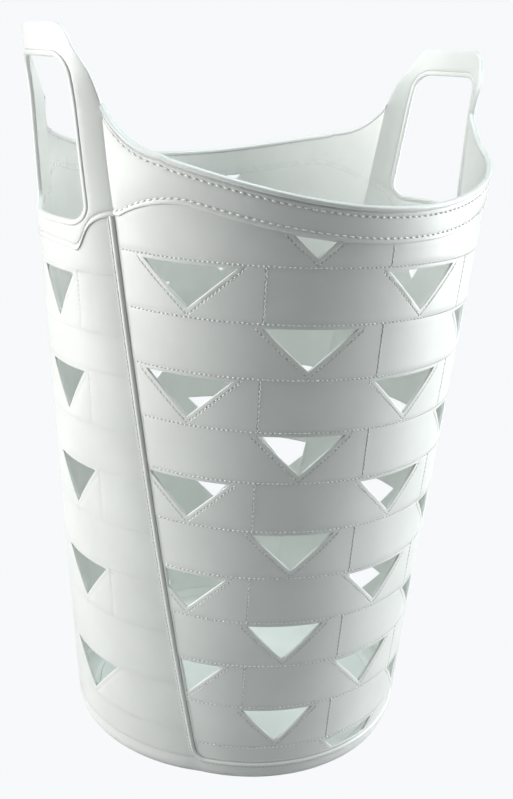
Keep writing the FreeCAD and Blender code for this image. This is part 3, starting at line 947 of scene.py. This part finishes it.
def stitch_bump():
    """One stitch a metre long, half a metre to either side, rounded at its ends."""
    work = bmesh.new()
    rings = [[work.verts.new((along, 0.5 * girth * math.cos(a), 0.5 * girth * math.sin(a)))
              for a in np.linspace(-0.15 * math.pi, 1.15 * math.pi, 5)] for along, girth in STITCH_RINGS]
    ends = [work.verts.new((along, 0, 0)) for along in (-0.5, 0.5)]
    for first, second in zip(rings, rings[1:]):
        for k in range(5):
            work.faces.new([first[k], first[(k + 1) % 5], second[(k + 1) % 5], second[k]])
    for ring, end in ((rings[0], ends[0]), (rings[-1], ends[1])):
        for k in range(5):
            work.faces.new([ring[k], ring[(k + 1) % 5], end])
    bmesh.ops.recalc_face_normals(work, faces=work.faces)
    mesh = bpy.data.meshes.new("stitch_bump")
    work.to_mesh(mesh)
    work.free()
    mesh.shade_smooth()
    return bpy.data.objects.new("stitch_bump", mesh)


def sewing_tree():
    """Geometry Nodes tree that sets stitches along every edge line of a mesh."""
    tree = bpy.data.node_groups.new("sewing", "GeometryNodeTree")
    face = tree.interface
    face.new_socket("Geometry", in_out="INPUT", socket_type="NodeSocketGeometry")
    for name, kind in (("Spacing", "NodeSocketFloat"), ("Stitch size", "NodeSocketVector"),
                       ("Stitch", "NodeSocketObject"), ("Material", "NodeSocketMaterial")):
        face.new_socket(name, in_out="INPUT", socket_type=kind)
    face.new_socket("Geometry", in_out="OUTPUT", socket_type="NodeSocketGeometry")
    add = nodes_of(tree)
    given = add("NodeGroupInput").outputs
    curve = add("GeometryNodeMeshToCurve", {0: given["Geometry"]})
    even = add("GeometryNodeResampleCurve", {"Curve": curve.outputs[0], "Length": given["Spacing"]},
               mode="LENGTH")
    outward = add("GeometryNodeInputNamedAttribute", {"Name": "outward"}, data_type="FLOAT_VECTOR")
    tangent = add("GeometryNodeInputTangent")
    turn = add("FunctionNodeAxesToRotation", {"Primary Axis": outward.outputs["Attribute"],
                                              "Secondary Axis": tangent.outputs[0]})
    bump = add("GeometryNodeObjectInfo", {"Object": given["Stitch"]})
    sewn = add("GeometryNodeInstanceOnPoints", {
        "Points": even.outputs[0], "Instance": bump.outputs["Geometry"],
        "Rotation": turn.outputs[0], "Scale": given["Stitch size"]})
    real = add("GeometryNodeRealizeInstances", {0: sewn.outputs[0]})
    painted = add("GeometryNodeSetMaterial", {"Geometry": real.outputs[0], "Material": given["Material"]})
    add("NodeGroupOutput", {0: painted.outputs[0]})
    return tree


def sew(name, rows, tree, bump, material, spacing, size):
    """Plain mesh of stitches along rows of (points, outward directions)."""
    points = np.concatenate([row[0] for row in rows]) * MM
    outward = np.concatenate([row[1] for row in rows])
    edges, first = [], 0
    for row in rows:
        edges += [(first + i, first + i + 1) for i in range(len(row[0]) - 1)]
        first += len(row[0])
    mesh = bpy.data.meshes.new(name)
    mesh.from_pydata(points.tolist(), edges, [])
    mesh.attributes.new("outward", "FLOAT_VECTOR", "POINT").data.foreach_set("vector", outward.ravel())
    thread = bpy.data.objects.new(name + "_thread", mesh)
    bpy.context.scene.collection.objects.link(thread)
    modifier = thread.modifiers.new("sewing", "NODES")
    modifier.node_group = tree
    ids = {item.name: item.identifier for item in tree.interface.items_tree if item.in_out == "INPUT"}
    modifier[ids["Spacing"]] = spacing * MM
    modifier[ids["Stitch size"]] = [part * MM for part in size]
    modifier[ids["Stitch"]] = bump
    modifier[ids["Material"]] = material
    evaluated = thread.evaluated_get(bpy.context.evaluated_depsgraph_get())
    plain = bpy.data.meshes.new_from_object(evaluated)
    plain.name = name
    sewn = bpy.data.objects.new(name, plain)
    bpy.context.scene.collection.objects.link(sewn)
    thread.modifiers.clear()
    bpy.data.objects.remove(thread)
    print(name, len(plain.polygons), "faces")
    return sewn

# %% [markdown]
# ## The plastic
#
# One natural white polyethylene is used throughout. It lets a little light into itself, so
# edges stay soft. Its surface has a fine eroded grain from the mould, slow waves where the
# melt has shrunk, and it is glossier on corners that are rubbed. Grooves and creases get a
# trace of grey as painted shade. The base is painted a lighter white against the shade under its
# curve, and the stitches a lighter white as a painted highlight.

# %% Moulded polyethylene
WAVE_MM = 55                        # sink waves
SCUFF_MM = 9                        # patches where handling has changed the gloss


def new_material(name):
    """Empty material, and the helper that adds nodes to it."""
    material = bpy.data.materials.new(name)
    material.use_nodes = True
    material.node_tree.nodes.clear()
    return material, nodes_of(material.node_tree)


def moulded_ldpe(name, colour, crease_shade_colour, rough, grain_mm, grain_depth_mm):
    """Soft moulded polyethylene with mould grain, sink waves, rubbed corners and painted shade in its
    creases.
    """
    material, add = new_material(name)
    where = add("ShaderNodeTexCoord").outputs["Object"]

    def noise(size_mm, detail, roughness):
        return add("ShaderNodeTexNoise", {"Vector": where, "Scale": 1 / (size_mm * MM), "Detail": detail,
                                          "Roughness": roughness}).outputs[0]

    def ramp(value, low, high, to_low, to_high):
        return add("ShaderNodeMapRange", {"Value": value, 1: low, 2: high, 3: to_low, 4: to_high}).outputs[0]

    grain, waves, scuffs = noise(grain_mm, 2.0, 0.6), noise(WAVE_MM, 3.0, 0.5), noise(SCUFF_MM, 5.0, 0.7)
    bend = add("ShaderNodeNewGeometry").outputs["Pointiness"]
    # Painted shade in concave places: full crease shade colour below 0.455, none above 0.495.
    crease_shade = ramp(bend, 0.455, 0.495, 1.0, 0.0)
    # Convex places are rubbed: from 0.51 up they get glossier.
    rubbed = ramp(bend, 0.51, 0.56, 0.0, 1.0)
    # The sink waves also make the white a little uneven.
    clouds = ramp(waves, 0.3, 0.7, 0.955, 1.03)
    tint = add("ShaderNodeVectorMath", {0: srgb(colour)[:3], "Scale": clouds}, operation="SCALE")
    # Painted shade: the white is mixed towards the crease shade colour where the surface is concave.
    tint_with_crease_shade = add("ShaderNodeMix", {0: crease_shade, 6: tint.outputs[0], 7: srgb(crease_shade_colour)}, data_type="RGBA")
    gloss = ramp(scuffs, 0.3, 0.7, rough - 0.05, rough + 0.06)
    worn = add("ShaderNodeMath", {0: rubbed, 1: -0.1, 2: gloss}, operation="MULTIPLY_ADD")
    swell = add("ShaderNodeBump", {"Height": waves, "Strength": 0.35, "Distance": 0.9 * MM})
    fine = add("ShaderNodeBump", {"Height": grain, "Normal": swell.outputs[0], "Strength": 0.4,
                                  "Distance": grain_depth_mm * MM})
    surface = add("ShaderNodeBsdfPrincipled", {
        "Base Color": tint_with_crease_shade.outputs[2], "Roughness": worn.outputs[0], "Normal": fine.outputs[0], "IOR": 1.51,
        "Subsurface Weight": 0.2, "Subsurface Radius": (0.95, 1.0, 1.0), "Subsurface Scale": 2.5 * MM})
    add("ShaderNodeOutputMaterial", {"Surface": surface.outputs[0]})
    return material


# The second colour of each finish is the painted shade in its grooves and creases.
finishes = {
    "panel_plastic": moulded_ldpe("ldpe_panel", "#e3e4e0", "#b9bab5", 0.42, 0.7, 0.05),
    "handle_plastic": moulded_ldpe("ldpe_handle", "#e5e6e2", "#bcbdb8", 0.40, 0.6, 0.04),
    "piping_plastic": moulded_ldpe("ldpe_piping", "#e6e7e3", "#a9aaa6", 0.36, 0.5, 0.03),
    # The base's white is painted lighter than the panels' to make up for the shade where it curves under.
    "base_plastic": moulded_ldpe("ldpe_base", "#ebece8", "#b4b5b0", 0.46, 0.8, 0.06),
    # The stitches' white is painted lighter than the plastic they sit on, as a painted highlight that sets
    # them off.
    "stitching": moulded_ldpe("ldpe_stitches", "#f0f1ee", "#c6c7c2", 0.34, 0.4, 0.02),
}
# First word of this list that is in a node's name gives its finish.
SLOT_OF = {"base": "base_plastic", "foot": "base_plastic", "floor": "base_plastic",
           "grip": "handle_plastic", "welt": "piping_plastic", "piping": "piping_plastic",
           "bead": "piping_plastic", "band": "handle_plastic", "panel": "panel_plastic",
           "handle": "handle_plastic"}
print(len(finishes), "finishes")

# %% Each piece gets its finish and its body, and the CAD part that it stands for is hidden
for node, piece in made.items():
    slot = next(finish for word, finish in SLOT_OF.items() if word in node.split("_"))
    piece.data.materials.clear()
    piece.data.materials.append(finishes[slot])
    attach(piece, "root")
    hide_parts(node)
print("dressed", len(made), "pieces")

# %% Stitching, front and left, then turned to the back and the right
# Spacing, then length, width and height of one stitch.
STITCHES = {"front_stitches": (3.5, (2.3, 1.2, 1.5)), "left_stitches": (3.5, (2.1, 0.9, 0.6)),
            "rim_stitches": (5.5, (3.8, 1.5, 1.7))}
sewing, bump = sewing_tree(), stitch_bump()
for name, (spacing, size) in STITCHES.items():
    stitches = sew(name, stitch_rows[name], sewing, bump, finishes["stitching"], spacing, size)
    for piece in (stitches, turned_copy(stitches, twin_name(name))):
        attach(piece, "root")

# %% [markdown]
# ## Studio
#
# A pale floor without a visible horizon, two large soft lights to the left and the right that
# leave the middle of the front a calm grey, and a small one above that lights the inside. That
# is how a pale object is usually lit to show its relief on a white ground.

# %% Floor, world, lights and camera
SKY = "#f7f9fb"


def glowing_floor():
    """Pale ground that looks evenly lit to the camera."""
    material, add = new_material("studio_floor")
    matte = add("ShaderNodeBsdfDiffuse", {"Color": (0.45, 0.455, 0.46, 1)})
    glow = add("ShaderNodeEmission", {"Color": srgb(SKY)})
    ray = add("ShaderNodeLightPath").outputs["Is Camera Ray"]
    both = add("ShaderNodeMixShader", {0: ray, 1: matte.outputs[0], 2: glow.outputs[0]})
    add("ShaderNodeOutputMaterial", {"Surface": both.outputs[0]})
    return material


ground = bpy.data.meshes.new("studio_floor")
ground.from_pydata([(-8, -8, 0), (8, -8, 0), (8, 8, 0), (-8, 8, 0)], [], [(0, 1, 2, 3)])
ground.materials.append(glowing_floor())
floor = bpy.data.objects.new("studio_floor", ground)
bpy.context.scene.collection.objects.link(floor)

AMBIENT = 0.10
world = bpy.data.worlds.new("studio")
bpy.context.scene.world = world
world.use_nodes = True
world.node_tree.nodes.clear()
add = nodes_of(world.node_tree)
seen = add("ShaderNodeBackground", {"Color": srgb(SKY), "Strength": 1.0})
dim = add("ShaderNodeBackground", {"Color": (0.93, 0.97, 1.0, 1), "Strength": AMBIENT})
camera_ray = add("ShaderNodeLightPath").outputs["Is Camera Ray"]
sky = add("ShaderNodeMixShader", {0: camera_ray, 1: dim.outputs[0], 2: seen.outputs[0]})
add("ShaderNodeOutputWorld", {"Surface": sky.outputs[0]})


def soft_light(name, azimuth, distance, height, width, tall, power, colour):
    """Large area light at an azimuth round the tub, turned to its middle."""
    lamp = bpy.data.lights.new(name, "AREA")
    lamp.shape, lamp.size, lamp.size_y = "RECTANGLE", width, tall
    lamp.energy, lamp.color = power, colour
    light = bpy.data.objects.new(name, lamp)
    turn = math.radians(azimuth)
    light.location = (distance * math.sin(turn), -distance * math.cos(turn), height)
    aim = Vector((0, 0, 0.3)) - light.location
    light.rotation_euler = aim.to_track_quat("-Z", "Y").to_euler()
    bpy.context.scene.collection.objects.link(light)


# Azimuth, distance, height, width, tallness, watts and colour.
soft_light("left_softbox", -110, 1.5, 0.55, 1.0, 1.5, 31, (1.0, 1.0, 1.0))
soft_light("right_softbox", 66, 1.5, 0.55, 1.0, 1.5, 37, (0.96, 0.99, 1.0))
soft_light("top_softbox", -32, 0.2, 1.9, 0.8, 0.8, 18, (0.84, 0.97, 1.0))

CAMERA = {"azimuth": -0.562, "distance": 0.85627, "height": 0.5832, "pitch": 0.324, "yaw": -0.005,
          "roll": 0.055, "lens": 45.57}
camera = bpy.data.cameras.new("camera")
camera.sensor_fit, camera.sensor_width, camera.lens = "AUTO", 36.0, CAMERA["lens"]
eye = bpy.data.objects.new("camera", camera)
turn, pitch, roll = CAMERA["azimuth"], CAMERA["pitch"], CAMERA["roll"]
place = Vector((math.sin(turn), -math.cos(turn), 0)) * CAMERA["distance"] + Vector((0, 0, CAMERA["height"]))
facing = turn + CAMERA["yaw"]
look = Vector((-math.sin(facing) * math.cos(pitch), math.cos(facing) * math.cos(pitch), -math.sin(pitch)))
right = Vector((math.cos(facing), math.sin(facing), 0))
up = right.cross(look)
right, up = right * math.cos(roll) + up * math.sin(roll), up * math.cos(roll) - right * math.sin(roll)
axes = Matrix((right, up, -look)).transposed().to_4x4()
eye.matrix_world = Matrix.Translation(place) @ axes
bpy.context.scene.collection.objects.link(eye)
bpy.context.scene.camera = eye
bpy.context.scene.view_settings.view_transform = "Standard"

# %% Last update of the scene
bpy.context.view_layer.update()
